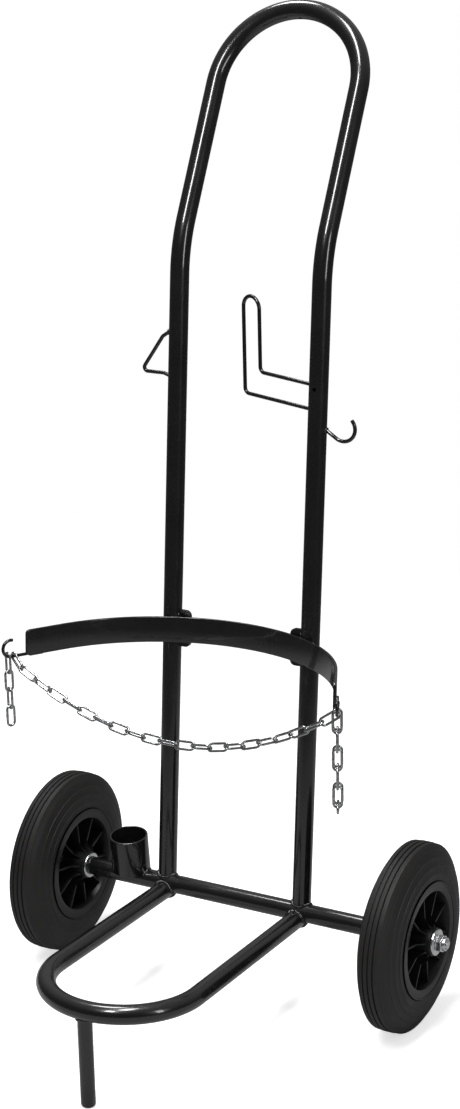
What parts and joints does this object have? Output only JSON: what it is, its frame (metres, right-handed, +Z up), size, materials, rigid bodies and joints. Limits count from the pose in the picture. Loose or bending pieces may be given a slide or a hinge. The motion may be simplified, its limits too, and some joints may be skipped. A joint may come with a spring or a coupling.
{
  "type": "gas cylinder trolley",
  "caption": "two-wheeled hand trolley for one upright gas cylinder: arched tube handle, curved steel band with a slack chain, low tube hoop on a leg, wire hooks for hoses and a torch cup",
  "frame": {"origin": "on the floor, under the middle of the whole trolley's bounding box", "axes": "+Z up, +X toward the right wheel along the axle, -Y toward the side that carries the cylinder"},
  "size_m": [0.5092, 0.5072, 1.0288],
  "materials": {
    "frame_paint": "gloss black stove enamel on steel",
    "tyre_rubber": "solid rubber, dull dark grey, fine moulding texture",
    "rim_plastic": "moulded black plastic, satin",
    "bush_nylon": "natural nylon",
    "zinc": "bright zinc plate",
    "chain_zinc": "bright zinc plate on welded wire links"
  },
  "bodies": {
    "frame": {"handle_frame": "frame_paint", "axle_tube": "frame_paint", "base_hoop": "frame_paint", "support_leg": "frame_paint", "cylinder_band": "frame_paint", "band_lug_left": "frame_paint", "band_lug_right": "frame_paint", "chain_hook_left": "frame_paint", "chain_hook_right": "frame_paint", "hose_loop": "frame_paint", "hose_peg": "frame_paint", "side_hook": "frame_paint", "torch_cup": "frame_paint", "hook_links": "chain_zinc", "stop_rings": "zinc", "axle_studs": "zinc", "end_washers": "zinc", "lock_nuts": "zinc"},
    "wheel_left": {"tyre_left": "tyre_rubber", "rim_ring_left": "rim_plastic", "rim_disc_left": "rim_plastic", "rim_ribs_left": "rim_plastic", "hub_bush_left": "bush_nylon"},
    "wheel_right": {"tyre_right": "tyre_rubber", "rim_ring_right": "rim_plastic", "rim_disc_right": "rim_plastic", "rim_ribs_right": "rim_plastic", "hub_bush_right": "bush_nylon"},
    "chain_swag": {"chain_swag": "chain_zinc"},
    "chain_tail_left": {"chain_tail_left": "chain_zinc"},
    "chain_bundle_right": {"chain_bundle_right": "chain_zinc"}
  },
  "joints": [
    {"name": "wheel_left_spin", "type": "hinge", "parent": "frame", "child": "wheel_left", "pos_m": [-0.2105, 0.05339, 0.1], "axis": [1, 0, 0], "continuous": true},
    {"name": "wheel_right_spin", "type": "hinge", "parent": "frame", "child": "wheel_right", "pos_m": [0.2105, 0.05339, 0.1], "axis": [1, 0, 0], "continuous": true},
    {"name": "chain_swag_swing", "type": "hinge", "parent": "frame", "child": "chain_swag", "pos_m": [0, -0.0692, 0.37355], "axis": [1, 0, 0], "range_deg": [-20, 20]},
    {"name": "chain_tail_swing", "type": "hinge", "parent": "frame", "child": "chain_tail_left", "pos_m": [-0.19082, -0.06858, 0.36626], "axis": [0.9044, -0.4267, 0], "range_deg": [-60, 60]},
    {"name": "chain_bundle_swing", "type": "hinge", "parent": "frame", "child": "chain_bundle_right", "pos_m": [0.18795, -0.06251, 0.36814], "axis": [0.4229, -0.8936, 0.1501], "range_deg": [-30, 30]}
  ]
}
